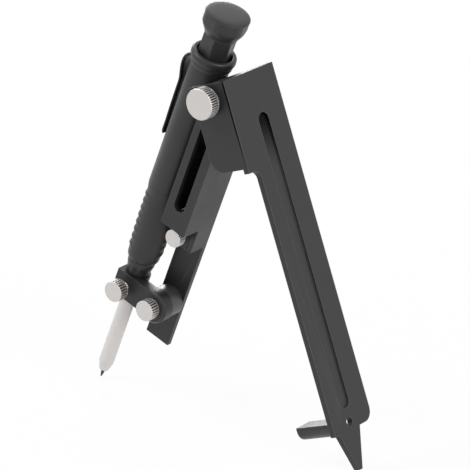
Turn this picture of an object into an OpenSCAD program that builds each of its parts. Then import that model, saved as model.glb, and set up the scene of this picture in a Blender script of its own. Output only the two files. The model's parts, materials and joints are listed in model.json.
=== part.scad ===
/* [Legs] */
// Lean of the pencil leg away from upright, in degrees
pencil_leg_lean = 18.9; // [10:0.1:24]
// Lean of the guide leg away from upright, in degrees
guide_leg_lean = 22.6; // [14:0.1:26]
// Thickness of the guide leg's plate and of its hinge ear
plate_t = 2.15; // [1.6:0.05:2.4]
// Width of the guide leg's head, from the ear's front to the rear edge
head_w = 26.45; // [25:0.05:28]
// Length of the head below the hinge axis
head_len = 26.3; // [22:0.1:34]
// Height of the head above the hinge axis
head_rise = 5.3; // [4.6:0.1:6]
// Front edge of the guide leg below its head
leg_front = 5.55; // [4:0.05:7]
// Distance of the guide plate's inner face from the hinge axis
plate_gap = 6.05; // [6.05:0.05:7]
// Distance from the hinge axis to the guide plate's shoulders
shoulder_len = 119.75; // [112:0.25:124]
// Reach of the hinge ear past the hinge axis
ear_reach = 6.8; // [6:0.1:7]
// Length of the hinge ear below the hinge axis
ear_len = 24.65; // [12:0.05:26]
// Radius of the ear's free corner
ear_corner_r = 5; // [2:0.5:6]

/* [Guide leg details] */
// Width of the groove down the guide leg's outer face
groove_w = 5.3; // [3:0.1:7]
// Depth of the groove
groove_deep = 0.6; // [0.4:0.1:1.4]
// Start of the groove below the hinge axis
groove_top = 9; // [6:0.5:30]
// End of the groove below the hinge axis
groove_end = 112.2; // [90:0.1:113]
// Centre line of the groove across the plate
groove_y = 14.45; // [13:0.05:16]
// Diameter of the screw hole near the guide leg's foot
foot_hole_d = 3; // [2:0.1:3.4]
// Distance of that hole below the hinge axis
foot_hole_len = 117; // [115.5:0.1:117.5]
// Reach of the foot rail inward past the hinge axis
rail_reach = 7.7; // [4:0.1:8]
// Width of the foot rail
rail_w = 7.6; // [6:0.1:8]
// Height of the foot rail
rail_h = 5; // [4.4:0.1:5.2]
// Width of the spike where it leaves the plate
spike_w = 11.4; // [8:0.1:13]
// Width of the spike's blunt tip
spike_tip_w = 1.9; // [1:0.1:3]

/* [Channel leg] */
// Front face of the channel, behind the ear's front face
channel_front = 4.9; // [4.9:0.05:5.4]
// Thickness of the channel's front wall
front_t = 2.2; // [1.6:0.1:2.2]
// Thickness of the channel's back wall
back_t = 1.9; // [1.5:0.1:2.2]
// Depth of the channel from front to back
channel_deep = 16.95; // [16.95:0.05:18]
// Half width of the channel on the side wall's side
channel_right = 5.55; // [5.3:0.05:5.55]
// Half width of the front wall on the pencil's side
front_left = 5; // [4.4:0.1:5]
// Half width of the back wall on the pencil's side
back_left = 4.5; // [4:0.1:4.6]
// Thickness of the side wall
side_t = 2; // [1.4:0.1:2]
// Thickness of the thin wall on the pencil's side
left_t = 0.9; // [0.7:0.1:1]
// End of the front wall below the hinge axis
front_len = 55.1; // [52:0.1:58]
// Length of the side wall's rear half past the front wall's end
side_drop = 9.6; // [8:0.1:12]
// End of the back wall below the hinge axis
back_len = 107.6; // [100:0.1:108]
// Width of the slot for the hinge stud
slot_w = 4.4; // [4.3:0.05:5]
// Metal between the slot's end and the front wall's end
slot_rest = 7.5; // [4:0.1:30]

/* [Knobs and clamp] */
// Diameter of the hinge knob
pivot_knob_d = 10.9; // [9:0.1:12]
// Thickness of the hinge knob
pivot_knob_len = 5.5; // [4:0.1:7]
// Diameter of the pencil knob and the arm knob
small_knob_d = 7.5; // [6:0.1:8]
// Thickness of the pencil knob and the arm knob
small_knob_len = 4; // [3.5:0.1:4.6]
// Diameter of the lock knob
lock_knob_d = 6.4; // [5.6:0.1:7]
// Thickness of the lock knob
lock_knob_len = 3; // [2.5:0.1:5]
// Diameter of the hinge stud
stud_d = 4; // [3:0.1:4.1]
// Diameter of the knobs' screws
screw_d = 3; // [2.5:0.1:3.2]
// Distance of the arm's screw below the hinge axis
arm_len = 90.6; // [90:0.05:91.5]
// Distance of the arm's screw from the channel's centre line
arm_off = 0.3; // [0:0.05:1]
// Diameter of the arm's round end
boss_d = 11.7; // [10.6:0.1:11.8]
// Distance of the lock knob below the front wall's end
lock_drop = 4.8; // [4:0.1:5.4]

/* [Pencil] */
// Distance of the pencil's axis from the channel's centre line
pencil_off = 12.45; // [12.45:0.05:14]
// Distance of the pencil's axis behind the ear's front face
pencil_deep = 14.8; // [14.4:0.1:15]
// Height of the pencil's top above the hinge axis, along the leg
pencil_rise = 22.9; // [20:0.1:24]
// Length of the whole pencil, from the button to the lead's point
pencil_len = 155; // [155:0.5:160]
// Diameter of the barrel
barrel_d = 13.5; // [12.5:0.1:13.5]
// Diameter of the rubber grip
grip_d = 12.6; // [12:0.1:13]
// Diameter of the steel nose tube
nose_d = 5.3; // [5.1:0.05:5.4]
// Diameter of the lead
lead_d = 2.8; // [2:0.1:2.8]
// Diameter of the push button
button_d = 15.6; // [14.6:0.1:15.8]

/* [Hidden] */
$fn = 64;
// How far a cut runs past the solid that it cuts
past = 0.5;
// Gap between faces that rest on each other
rest_gap = 0.05;
// Radial gap of a screw or stud that turns in its hole
turn_gap = 0.05;
// Gap between pieces that pass each other
body_gap = 0.3;
// Radial gap of a tube that slides in its bore
tube_gap = 0.08;

// Heights and widths that follow from the two legs
channel_back = channel_front + channel_deep;
back_face = channel_back - back_t;
front_inner = channel_front + front_t;
side_inner = channel_right - side_t;
plate_out = plate_gap + plate_t;
leg_fillet_r = 3.1;
rear_corner_r = 4;
spike_front = 7.8;
spike_tip_front = 12.6;
gusset_n = 1.4;
gusset_t = 0.6;
gusset_front = 6;
gusset_rear = 21;
end_round_u = 2;
notch_y = 13.05;
side_len = front_len + side_drop;
slot_len = front_len - slot_rest;
lock_len = front_len + lock_drop;

// The lead's blunt point, and the spike that reaches the same floor
point_r = 0.25;
point_len = pencil_len - pencil_rise;
floor_drop = cos(pencil_leg_lean) * point_len
    - sin(pencil_leg_lean) * (pencil_off - point_r);
spike_len = (floor_drop + sin(guide_leg_lean) * plate_gap) / cos(guide_leg_lean);
left_x = -sin(pencil_leg_lean) * point_len
    - cos(pencil_leg_lean) * (pencil_off + point_r);
right_x = sin(guide_leg_lean) * spike_len + cos(guide_leg_lean) * plate_out;
hinge_x = -(left_x + right_x) / 2;
hinge_y = -(head_w - pivot_knob_len - rest_gap) / 2;

// Clamp arm: block round the nose tube, bridge and round end
block_front = 9.7;
block_half = 4.75;
block_rise = 5.3;
block_top = arm_len - block_rise;
block_drop = 4.3;
block_end = arm_len + block_drop;
boss_rear = 14.3;
standoff_d = 11.2;
boss_bevel = 0.7;
bridge_t = 4.1;

// Stations along the pencil, from the button's top
cap_edge = 0.7;
cap_straight = 4.4;
cap_end = 8;
hex_corner_d = 11.74;
cap_hex_d = 16.8;
cap_rim = 1;
stem_end = 22.4;
ring_top = 15.8;
ring_wide = 17.6;
ring_end = 21;
ring_flange = 1.15;
ring_wide_d = barrel_d + 2 * ring_flange;
ring_top_d = barrel_d + ring_flange;
ring_end_d = barrel_d + ring_flange / 2;
ring_play = 0.35;
ring_bore_d = hex_corner_d + 2 * ring_play;
barrel_end = 71;
counterbore_end = 27;
shoulder_s = 46;
core_d = 9.5;
core_end = 101.8;
core_bore_d = 8;
grip_end = 102.3;
foot_d = 9.9;
neck_step = 104;
neck_taper = 106;
neck_top_d = 9.7;
neck_d = 8.7;
neck_foot_d = 8.4;
neck_plug = 96.4;
neck_end = block_top + pencil_rise - rest_gap;
core_bore_top = 96;
tube_top = 100;
tube_end = 148.5;
tip_end = 151.5;
lead_top = 60;
sharpen_s = 149;
spring_mean_d = 6.8;
spring_wire_d = 0.8;
spring_turns = 7;
spring_steps = 12;
spring_sides = 6;

// Place a sub-part in the pencil leg: X across, Y to the rear, Z up the leg
module in_pencil_leg() {
    translate([hinge_x, hinge_y, floor_drop])
        rotate([0, pencil_leg_lean, 0])
            children();
}

// Place a sub-part in the guide leg: X outward, Y to the rear, Z up the leg
module in_guide_leg() {
    translate([hinge_x, hinge_y, floor_drop])
        rotate([0, -guide_leg_lean, 0])
            children();
}

// Place a sub-part on the pencil's axis, with its Z up from the button's top
module in_pencil() {
    in_pencil_leg()
        translate([-pencil_off, pencil_deep, pencil_rise])
            children();
}

// A flat plate of thickness t from x0 outward, drawn as (rear, up)
module plate_across(x0, t) {
    translate([x0, 0, 0])
        rotate([90, 0, 90])
            linear_extrude(t)
                children();
}

// A flat plate of thickness t from y0 rearward, drawn as (out, up)
module plate_back(y0, t) {
    translate([0, y0 + t, 0])
        rotate([90, 0, 0])
            linear_extrude(t)
                children();
}

// A round bar from y0 rearward to y1, at x and z
module bar_back(x, z, y0, y1, d) {
    translate([x, y0, z])
        rotate([-90, 0, 0])
            cylinder(d = d, h = y1 - y0);
}

// A rectangle between two corners
module field(x0, z0, x1, z1) {
    translate([x0, z0])
        square([x1 - x0, z1 - z0]);
}

// What a rounded corner at (x, z) loses; sx and sz point out of the plate
module corner_off(x, z, r, sx, sz) {
    translate([x - sx * r, z - sz * r])
        difference() {
            translate([sx > 0 ? 0 : -r - past, sz > 0 ? 0 : -r - past])
                square(r + past);
            circle(r);
        }
}

// A ring or sleeve on the pencil, between two stations
module sleeve(s0, s1, outer_d, bore_d) {
    translate([0, 0, -s1])
        difference() {
            cylinder(d = outer_d, h = s1 - s0);
            translate([0, 0, -past])
                cylinder(d = bore_d, h = s1 - s0 + 2 * past);
        }
}

bevel_share = 0.04;
notch_share = 0.2;
hole_share = 0.25;
large_ribs = 40;
small_ribs = 24;

// A knurled knob: face at y0, rim towards the rear, blind hole for its screw
module knurled_knob(x, z, y0, d, len, ribs, hole_d, shank_y) {
    bevel = d * bevel_share;
    notch_r = PI * d / ribs * notch_share;
    shank_r = hole_d / 2;
    translate([x, y0, z])
        rotate([-90, 0, 0])
            difference() {
                rotate_extrude()
                    polygon([[0, 0], [d / 2 - bevel, 0], [d / 2, bevel],
                        [d / 2, len - bevel], [d / 2 - bevel, len], [0, len]]);
                for (rib = [0 : ribs - 1])
                    rotate(rib * 360 / ribs)
                        translate([d / 2 + notch_r / 3, 0, -past])
                            cylinder(r = notch_r, h = len + 2 * past, $fn = 16);
                if (shank_y == 0)
                    translate([0, 0, len * hole_share])
                        cylinder(r = shank_r, h = len);
            }
    if (shank_y > 0)
        bar_back(x, z, y0 + len / 2, shank_y, hole_d);
}

module guide_outline() {
    difference() {
        union() {
            field(0, -head_len, head_w, head_rise);
            field(leg_front, -shoulder_len, head_w, 0);
            difference() {
                field(leg_front - leg_fillet_r, -head_len - leg_fillet_r,
                    leg_front + past, -head_len + past);
                translate([leg_front - leg_fillet_r, -head_len - leg_fillet_r])
                    circle(leg_fillet_r);
            }
            polygon([[spike_front, -shoulder_len + past],
                [spike_front, -shoulder_len],
                [spike_tip_front, -spike_len],
                [spike_tip_front + spike_tip_w, -spike_len],
                [spike_front + spike_w, -shoulder_len],
                [spike_front + spike_w, -shoulder_len + past]]);
        }
        corner_off(head_w, -shoulder_len, rear_corner_r, 1, -1);
        translate([groove_y, -foot_hole_len])
            circle(d = foot_hole_d);
    }
}

module leg_plate() color("#3b3b3c") in_guide_leg() {
    difference() {
        plate_across(plate_gap, plate_t)
            guide_outline();
        plate_across(plate_out - groove_deep, groove_deep + past) {
            field(groove_y - groove_w / 2, -groove_end + groove_w / 2,
                groove_y + groove_w / 2, -groove_top - groove_w / 2);
            translate([groove_y, -groove_top - groove_w / 2])
                circle(d = groove_w);
            translate([groove_y, -groove_end + groove_w / 2])
                circle(d = groove_w);
        }
    }
    difference() {
        translate([0, 0, head_rise - gusset_t])
            linear_extrude(gusset_t)
                polygon([[gusset_n, plate_t / 2], [gusset_n, gusset_front],
                    [plate_gap, gusset_rear], [plate_gap + past, gusset_rear],
                    [plate_gap + past, plate_t / 2]]);
        bar_back(0, 0, 0, gusset_rear + past, 2 * channel_right);
    }
    plate_back(0, plate_t)
        difference() {
            field(-ear_reach, -ear_len, plate_gap + past, head_rise);
            corner_off(-ear_reach, -ear_len, ear_corner_r, -1, -1);
            circle(d = stud_d + 2 * turn_gap);
        }
    plate_across(-rail_reach, plate_gap + rail_reach + past)
        foot_rail_outline();
}

rail_under = 0.35;

// The foot rail's end: flat on top, round below
module foot_rail_outline() {
    rail_end = -shoulder_len - rail_under;
    field(leg_front, rail_end + rail_w / 2, leg_front + rail_w, rail_end + rail_h);
    intersection() {
        translate([leg_front + rail_w / 2, rail_end + rail_w / 2])
            circle(d = rail_w);
        field(leg_front, rail_end, leg_front + rail_w, rail_end + rail_h);
    }
}

// Keeps the channel inside the guide plate's swing: a round upper end
module channel_envelope() {
    bar_back(0, -end_round_u, channel_front - past, channel_back + past,
        2 * channel_right);
    translate([-front_left - past, channel_front - past, -back_len - past])
        cube([front_left + channel_right + 2 * past,
            channel_deep + 2 * past, back_len + past - end_round_u]);
}

module channel() color("#424243") in_pencil_leg()
    intersection() {
        channel_envelope();
        difference() {
            union() {
                plate_back(channel_front, front_t)
                    field(-front_left, -front_len, channel_right, channel_right);
                plate_back(back_face, back_t)
                    field(-back_left, -back_len, channel_right, channel_right);
                plate_across(side_inner, side_t) {
                    field(channel_front, -front_len, channel_back, channel_right);
                    field(notch_y, -side_len, channel_back, 0);
                }
                plate_across(-front_left, left_t) {
                    field(channel_front, -front_len, notch_y - body_gap, 0);
                    field(channel_front, -front_len + block_lap + body_gap,
                        channel_back, channel_right);
                }
            }
            plate_back(channel_front - past, front_t + 2 * past) {
                field(-slot_w / 2, -slot_len + slot_w / 2, slot_w / 2, 0);
                circle(d = slot_w);
                translate([0, -slot_len + slot_w / 2])
                    circle(d = slot_w);
            }
            bar_back(arm_off, -arm_len, back_face - past, channel_back + past,
                screw_d + 2 * turn_gap);
            bar_back(arm_off, -arm_len, channel_back - screw_sink, channel_back + past,
                screw_head_d + 4 * turn_gap);
        }
    }

turned_t = 1.15;
turned_d = 8.4;

// Hinge knob: a knurled head and a turned shoulder behind it
module pivot_knob() color("#cfcbc7") in_pencil_leg() {
    knurled_knob(0, 0, -pivot_knob_len - rest_gap, pivot_knob_d,
        pivot_knob_len - turned_t, large_ribs, stud_d + 2 * turn_gap, 0);
    difference() {
        bar_back(0, 0, -turned_t - rest_gap - past, -rest_gap, turned_d);
        bar_back(0, 0, -pivot_knob_len / 2, past, stud_d + 2 * turn_gap);
    }
}

washer_d = 9.6;
nut_rear = 12;
nut_play = 0.15;
nut_len = 6;
nut_rise = 3;
stud_head_len = 1.6;
stud_head_d = 6.4;

module pivot_stud() color("#a9a7a4") in_pencil_leg() {
    bar_back(0, 0, -pivot_knob_len / 2, nut_rear + past, stud_d);
    bar_back(0, 0, nut_rear + rest_gap, nut_rear + stud_head_len, stud_head_d);
}

module pivot_washer() color("#b5b2ae") in_pencil_leg()
    difference() {
        bar_back(0, 0, plate_t + rest_gap, channel_front - rest_gap, washer_d);
        bar_back(0, 0, 0, channel_front + past, stud_d + 2 * turn_gap);
    }

module slide_nut() color("#8d8b88") in_pencil_leg()
    difference() {
        plate_back(front_inner + rest_gap, nut_rear - front_inner - rest_gap)
            field(-front_left + left_t + nut_play, -nut_len, side_inner - nut_play,
                nut_rise);
        bar_back(0, 0, front_inner - past, nut_rear + past, stud_d + 2 * turn_gap);
    }

lock_knob_face = 7.5;
lock_shank_rear = 18;
block_lap = 2;

module lock_knob() color("#cfcbc7") in_pencil_leg()
    knurled_knob(arm_off, -lock_len, lock_knob_face, lock_knob_d, lock_knob_len,
        small_ribs, screw_d, lock_shank_rear);

// Block behind the lock knob, between the side wall and the open side
module lock_block() color("#3b3b3c") in_pencil_leg()
    difference() {
        plate_back(notch_y, back_face - notch_y - rest_gap)
            field(-back_left, -side_len, side_inner - 2 * rest_gap,
                -front_len + block_lap);
        bar_back(arm_off, -lock_len, notch_y - past, lock_shank_rear + past,
            screw_d + 2 * turn_gap);
    }

// Arm: a block with a round rear round the nose tube, a bridge and a round end
module clamp_arm() color("#3a3a3b") in_pencil_leg()
    difference() {
        union() {
            plate_back(block_front, pencil_deep - block_front)
                field(-pencil_off - block_half, -block_end, -pencil_off + block_half,
                    -block_top);
            translate([-pencil_off, pencil_deep, -block_end])
                cylinder(r = block_half, h = block_end - block_top);
            plate_back(block_front, bridge_t)
                field(-pencil_off, -block_end, arm_off, -block_top);
            bar_back(arm_off, -arm_len, block_front + boss_bevel, boss_rear, boss_d);
            translate([arm_off, block_front, -arm_len])
                rotate([-90, 0, 0])
                    cylinder(d1 = boss_d - 2 * boss_bevel, d2 = boss_d, h = boss_bevel);
        }
        translate([-pencil_off, pencil_deep, -block_end - past])
            cylinder(d = nose_d + 2 * tube_gap, h = block_end - block_top + 2 * past);
        bar_back(arm_off, -arm_len, block_front - past, boss_rear + past,
            screw_d + 2 * turn_gap);
        bar_back(-pencil_off, -knob_u, block_front - past, pencil_deep,
            screw_d + 2 * turn_gap);
    }

knob_rise = 0.4;
knob_u = arm_len - knob_rise;
pencil_knob_face = 3.2;
shank_rest = pencil_deep - nose_d / 2 - rest_gap;

module standoff() color("#55524f") in_pencil_leg()
    difference() {
        bar_back(arm_off, -arm_len, boss_rear + rest_gap, back_face, standoff_d);
        bar_back(arm_off, -arm_len, boss_rear, back_face + past,
            screw_d + 2 * turn_gap);
    }

screw_head_d = 5.6;
screw_sink = 1.3;

module arm_screw() color("#a9a7a4") in_pencil_leg() {
    bar_back(arm_off, -arm_len, block_front - small_knob_len / 2,
        channel_back - rest_gap, screw_d);
    bar_back(arm_off, -arm_len, channel_back - screw_sink + rest_gap,
        channel_back - rest_gap, screw_head_d);
}

module arm_knob() color("#cfcbc7") in_pencil_leg()
    knurled_knob(arm_off, -arm_len, block_front - rest_gap - small_knob_len,
        small_knob_d, small_knob_len, small_ribs, screw_d + 2 * turn_gap, 0);

module pencil_knob() color("#cfcbc7") in_pencil_leg()
    knurled_knob(-pencil_off, -knob_u, pencil_knob_face, small_knob_d,
        small_knob_len, small_ribs, screw_d, shank_rest);

// The turn that sets the button's six flats as the photograph shows them
hex_turn = 46;
window_top = 11;
window_end = 20;
window_floor = 2.4;
window_half = 2.3;
blade_t = 0.5;
blade_play = 0.2;
blade_hole_d = 1.4;
blade_hole_up = 2.4;
blade_head_d = 2.2;
blade_head_t = 0.6;
blade_shank_d = 1.2;
blade_shank_in = 0.3;
cone_rise = 1;
cone_top_r = 0.6;
cone_play = 0.4;

// Button: round rim, six flats below, conical hole with a blade window
module push_button() color("#3f3f40") in_pencil()
    difference() {
        union() {
            intersection() {
                translate([0, 0, -cap_end])
                    rotate(hex_turn)
                        cylinder(d = cap_hex_d, h = cap_end, $fn = 6);
                rotate_extrude()
                    polygon([[0, 0], [button_d / 2 - cap_edge, 0],
                        [button_d / 2, -cap_edge], [button_d / 2, -cap_straight],
                        [hex_corner_d / 2 - cap_edge, -cap_end], [0, -cap_end]]);
            }
            rotate_extrude()
                polygon([[0, 0], [button_d / 2 - cap_edge / 2, 0],
                    [button_d / 2, -cap_edge / 2], [button_d / 2, -cap_rim],
                    [0, -cap_rim]]);
            translate([0, 0, -stem_end])
                rotate(hex_turn)
                    cylinder(d = hex_corner_d, h = stem_end - cap_edge, $fn = 6);
        }
        rotate_extrude()
            polygon([[0, -window_top + cone_rise], [cone_top_r, -window_top + cone_rise],
                [lead_d / 2 + cone_play, -stem_end - past], [0, -stem_end - past]]);
        rotate(hex_turn + 30)
            translate([window_floor - blade_t, -window_half, -window_end])
                cube([hex_corner_d, 2 * window_half, window_end - window_top]);
    }

module sharpener_blade() color("#c4c6c8") in_pencil()
    rotate(hex_turn + 30)
        difference() {
            translate([window_floor - blade_t + rest_gap, -window_half + blade_play,
                -window_end + blade_play])
                cube([blade_t, 2 * window_half - 2 * blade_play,
                    window_end - window_top - 2 * blade_play]);
            translate([0, 0, -window_end + blade_hole_up])
                rotate([0, 90, 0])
                    cylinder(d = blade_hole_d, h = hex_corner_d);
        }

module blade_screw() color("#b8b6b2") in_pencil()
    rotate(hex_turn + 30)
        translate([0, 0, -window_end + blade_hole_up])
            rotate([0, 90, 0]) {
                translate([0, 0, window_floor + 2 * rest_gap])
                    cylinder(d = blade_head_d, h = blade_head_t);
                translate([0, 0, window_floor - blade_t + rest_gap])
                    cylinder(d = blade_shank_d, h = blade_t + blade_shank_in);
            }

module end_ring() color("#3b3b3c") in_pencil()
    difference() {
        rotate_extrude()
            polygon([[0, -ring_top], [ring_top_d / 2, -ring_top],
                [ring_wide_d / 2, -ring_wide], [ring_end_d / 2, -ring_end],
                [0, -ring_end]]);
        translate([0, 0, -ring_end - past])
            cylinder(d = ring_bore_d, h = ring_end - ring_top + 2 * past);
    }

clip_foot = 53.2;
clip_turn = 180;
clip_w = 5.2;
clip_t = 1;
clip_gap = 0.15;
clip_round = 1.4;
clip_tip = 1.2;
clip_shoulder_r = 9.7;
clip_shoulder_s = 25.9;
clip_waist_r = 8.55;
clip_bend_s = 31.1;
clip_end_r = 8.25;
clip_root_r = barrel_d / 2 + clip_gap;
clip_under = -ring_end - clip_round - clip_t;

// Pocket clip: it leaves the barrel below the ring and comes back to it at its tip
module pocket_clip() color("#434344") in_pencil()
    rotate(clip_turn)
        translate([0, clip_w / 2, 0])
            rotate([90, 0, 0])
                linear_extrude(clip_w)
                    polygon([[clip_root_r, -ring_end - clip_gap],
                        [clip_shoulder_r - clip_round, -ring_end - clip_gap],
                        [clip_shoulder_r - clip_round / 3, -ring_end - clip_round],
                        [clip_shoulder_r, -ring_end - 2 * clip_round],
                        [clip_shoulder_r, -clip_shoulder_s],
                        [clip_waist_r, -clip_bend_s],
                        [clip_end_r, -clip_foot + clip_tip],
                        [clip_end_r - clip_tip / 2, -clip_foot],
                        [clip_root_r, -clip_foot],
                        [clip_root_r, -clip_foot + 2 * clip_tip],
                        [clip_end_r - clip_t, -clip_foot + 3 * clip_tip],
                        [clip_waist_r - clip_t, -clip_bend_s],
                        [clip_shoulder_r - clip_t, -clip_shoulder_s],
                        [clip_shoulder_r - clip_t, clip_under - clip_t],
                        [clip_shoulder_r - clip_round, clip_under],
                        [clip_root_r, clip_under]]);

spring_room = 1.2;
stem_gap = 0.1;

// Barrel: six-sided mouth for the button, spring room, and a core for the grip
module barrel() color("#323233") in_pencil()
    difference() {
        union() {
            sleeve(ring_end, barrel_end, barrel_d, spring_mean_d);
            sleeve(barrel_end - past, core_end, core_d, core_bore_d);
        }
        translate([0, 0, -counterbore_end])
            rotate(hex_turn)
                cylinder(d = hex_corner_d + 2 * stem_gap, h = counterbore_end, $fn = 6);
        translate([0, 0, -shoulder_s])
            cylinder(d = spring_mean_d + 2 * spring_room, h = shoulder_s - ring_end + past);
        translate([0, 0, -core_end - past])
            cylinder(d = core_bore_d, h = core_end + past - core_bore_top);
    }

ridge_rows = 8;
ridge_pitch = 3;
ridge_top = 76;
ridge_span = 72;
ridge_r = 0.5;
ridge_turn = 28;
waist_s = 74.5;
grip_low_s = 96;
grip_low_d = 11.8;
grip_round = 2.6;

// Smooth rubber sleeve with a row of short ridges on each side
module rubber_grip() color("#3c3c3d") in_pencil()
    difference() {
        union() {
            rotate_extrude()
                polygon([[0, -barrel_end - rest_gap],
                    [barrel_d / 2, -barrel_end - rest_gap],
                    [grip_d / 2, -waist_s], [grip_d / 2, -(waist_s + grip_low_s) / 2],
                    [grip_low_d / 2, -grip_low_s],
                    [grip_low_d / 2, -grip_end + grip_round],
                    [(grip_low_d + foot_d) / 4, -grip_end + grip_round / 3],
                    [foot_d / 2, -grip_end], [0, -grip_end]]);
            for (side = [0, 180]) for (row = [0 : ridge_rows - 1])
                translate([0, 0, -ridge_top - row * ridge_pitch])
                    rotate(ridge_turn + side - ridge_span / 2)
                        rotate_extrude(angle = ridge_span)
                            translate([ridge_ring(ridge_top + row * ridge_pitch), 0])
                                circle(ridge_r, $fn = 16);
        }
        translate([0, 0, -grip_end - past])
            cylinder(d = core_d + 2 * rest_gap, h = grip_end - barrel_end + 2 * past);
    }

// The sleeve narrows towards its foot, and the ridges follow it
function ridge_ring(s) =
    let (middle = (waist_s + grip_low_s) / 2)
    (s < middle ? grip_d
        : grip_d + (grip_low_d - grip_d) * (s - middle) / (grip_low_s - middle)) / 2
        - ridge_r / 2;

// Neck: tapers below the grip, with a plug up inside the barrel's core
module neck() color("#38383a") in_pencil()
    difference() {
        rotate_extrude()
            polygon([[0, -neck_plug], [core_bore_d / 2 - rest_gap, -neck_plug],
                [core_bore_d / 2 - rest_gap, -grip_end - rest_gap],
                [neck_top_d / 2, -grip_end - rest_gap], [neck_top_d / 2, -neck_step],
                [neck_d / 2, -neck_taper], [neck_foot_d / 2, -neck_end],
                [0, -neck_end]]);
        translate([0, 0, -neck_end - past])
            cylinder(d = nose_d + rest_gap, h = neck_end - neck_plug + 2 * past);
    }

module nose_tube() color("#d8d5d2") in_pencil()
    sleeve(tube_top, tube_end, nose_d, nose_bore_d);

nose_bore_d = 4.6;
cone_foot_d = 3.6;
cone_step = 0.5;

module nose_tip() color("#d2d2d3") in_pencil()
    difference() {
        translate([0, 0, -tip_end])
            cylinder(d1 = cone_foot_d, d2 = nose_d - cone_step, h = tip_end - tube_end);
        translate([0, 0, -tip_end - past])
            cylinder(d = lead_d + 2 * turn_gap, h = tip_end - tube_end + 2 * past);
    }

module lead() color("#3f4346") in_pencil()
    rotate_extrude()
        polygon([[0, -lead_top], [lead_d / 2, -lead_top], [lead_d / 2, -sharpen_s],
            [point_r, -pencil_len], [0, -pencil_len]]);

flange_end = 30;
flange_over = 1.1;
flange_t = 1;
bore_play = 0.2;
cone_room_d = 3.6;
jaw_slit = 0.4;
jaw_top = 137;
jaw_end = 145.5;
jaw_d = 3.9;
ring_s0 = 139;
ring_s1 = 142;

// Magazine tube with the flange that the button pushes
module lead_tube() color("#b79a5a") in_pencil()
    difference() {
        union() {
            sleeve(stem_end + rest_gap, flange_end, spring_mean_d + 2 * flange_over,
                lead_d + bore_play);
            sleeve(flange_end - flange_t, jaw_top, jaw_d, lead_d + bore_play);
        }
        translate([0, 0, -stem_end - flange_t])
            cylinder(d = cone_room_d, h = 2 * flange_t);
    }

module clutch_jaws() color("#c2a465") in_pencil()
    difference() {
        sleeve(jaw_top, jaw_end, jaw_d, lead_d + 2 * turn_gap);
        for (slit = [0 : 2])
            rotate(slit * 120)
                translate([0, -jaw_slit / 2, -jaw_end - past])
                    cube([jaw_d, jaw_slit, jaw_end - ring_s0]);
    }

module clutch_ring() color("#a3a3a5") in_pencil()
    sleeve(ring_s0, ring_s1, nose_bore_d - rest_gap / 2, jaw_d + 2 * turn_gap);

// Rings of points along the spring's helix, and the faces between them
function spring_point(step, side) =
    let (turn = step * 360 / spring_steps, round_at = side * 360 / spring_sides,
        r = spring_mean_d / 2 + spring_wire_d / 2 * cos(round_at),
        rise = (shoulder_s - flange_end - spring_wire_d - 2 * rest_gap)
            * step / (spring_turns * spring_steps))
    [r * cos(turn), r * sin(turn),
        -shoulder_s + rest_gap + spring_wire_d / 2 + rise
            + spring_wire_d / 2 * sin(round_at)];
spring_rings = spring_turns * spring_steps;
spring_points = [for (step = [0 : spring_rings]) for (side = [0 : spring_sides - 1])
    spring_point(step, side)];
spring_walls = [for (step = [0 : spring_rings - 1]) for (side = [0 : spring_sides - 1])
    let (next = (side + 1) % spring_sides, low = step * spring_sides,
        high = low + spring_sides)
    [low + side, high + side, high + next, low + next]];
spring_first = [[for (side = [0 : spring_sides - 1]) side]];
spring_last = [[for (side = [spring_sides - 1 : -1 : 0])
    spring_rings * spring_sides + side]];

module button_spring() color("#b9bbbd") in_pencil()
    polyhedron(spring_points, concat(spring_first, spring_walls, spring_last));

leg_plate();
channel();
pivot_knob();
pivot_stud();
pivot_washer();
slide_nut();
lock_knob();
lock_block();
clamp_arm();
standoff();
arm_screw();
arm_knob();
pencil_knob();
push_button();
end_ring();
pocket_clip();
barrel();
rubber_grip();
neck();
nose_tube();
nose_tip();
lead();
lead_tube();
button_spring();
clutch_jaws();
clutch_ring();
sharpener_blade();
blade_screw();
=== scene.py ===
# %% [markdown]
# A scribing compass that holds a carpenter's pencil
#
# The real object is two black anodised legs on one hinge. The left leg is a channel that
# carries a deep-hole pencil in a small clamp, and the right leg is a flat plate with a
# spike. The construction file already holds every solid at its real size, so this lesson
# only dresses it: turned, knurled and moulded pieces are remade with finer meshes, and the
# flat metal keeps its solids with broken edges.

import json
from math import cos, pi, radians, sin, sqrt, tau

import bmesh
import bpy
from mathutils import Matrix, Vector


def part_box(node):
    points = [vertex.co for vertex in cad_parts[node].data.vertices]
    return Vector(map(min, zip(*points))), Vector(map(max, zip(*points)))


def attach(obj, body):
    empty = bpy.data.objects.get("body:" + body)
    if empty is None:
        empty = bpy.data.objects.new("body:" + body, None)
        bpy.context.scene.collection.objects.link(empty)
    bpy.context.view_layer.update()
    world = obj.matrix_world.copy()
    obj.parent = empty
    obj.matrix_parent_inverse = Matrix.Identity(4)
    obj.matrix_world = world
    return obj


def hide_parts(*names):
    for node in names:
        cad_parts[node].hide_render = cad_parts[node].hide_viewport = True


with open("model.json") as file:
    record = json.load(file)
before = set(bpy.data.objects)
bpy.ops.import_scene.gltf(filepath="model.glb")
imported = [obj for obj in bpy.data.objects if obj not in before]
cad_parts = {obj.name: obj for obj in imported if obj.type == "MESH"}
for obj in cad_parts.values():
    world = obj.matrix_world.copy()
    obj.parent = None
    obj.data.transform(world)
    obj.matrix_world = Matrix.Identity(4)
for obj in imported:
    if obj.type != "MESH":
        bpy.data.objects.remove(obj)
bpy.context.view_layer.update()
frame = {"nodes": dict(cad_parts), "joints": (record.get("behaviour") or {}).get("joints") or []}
MM = 0.001
scene = bpy.context.scene
scene.view_settings.view_transform = "Standard"

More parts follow.
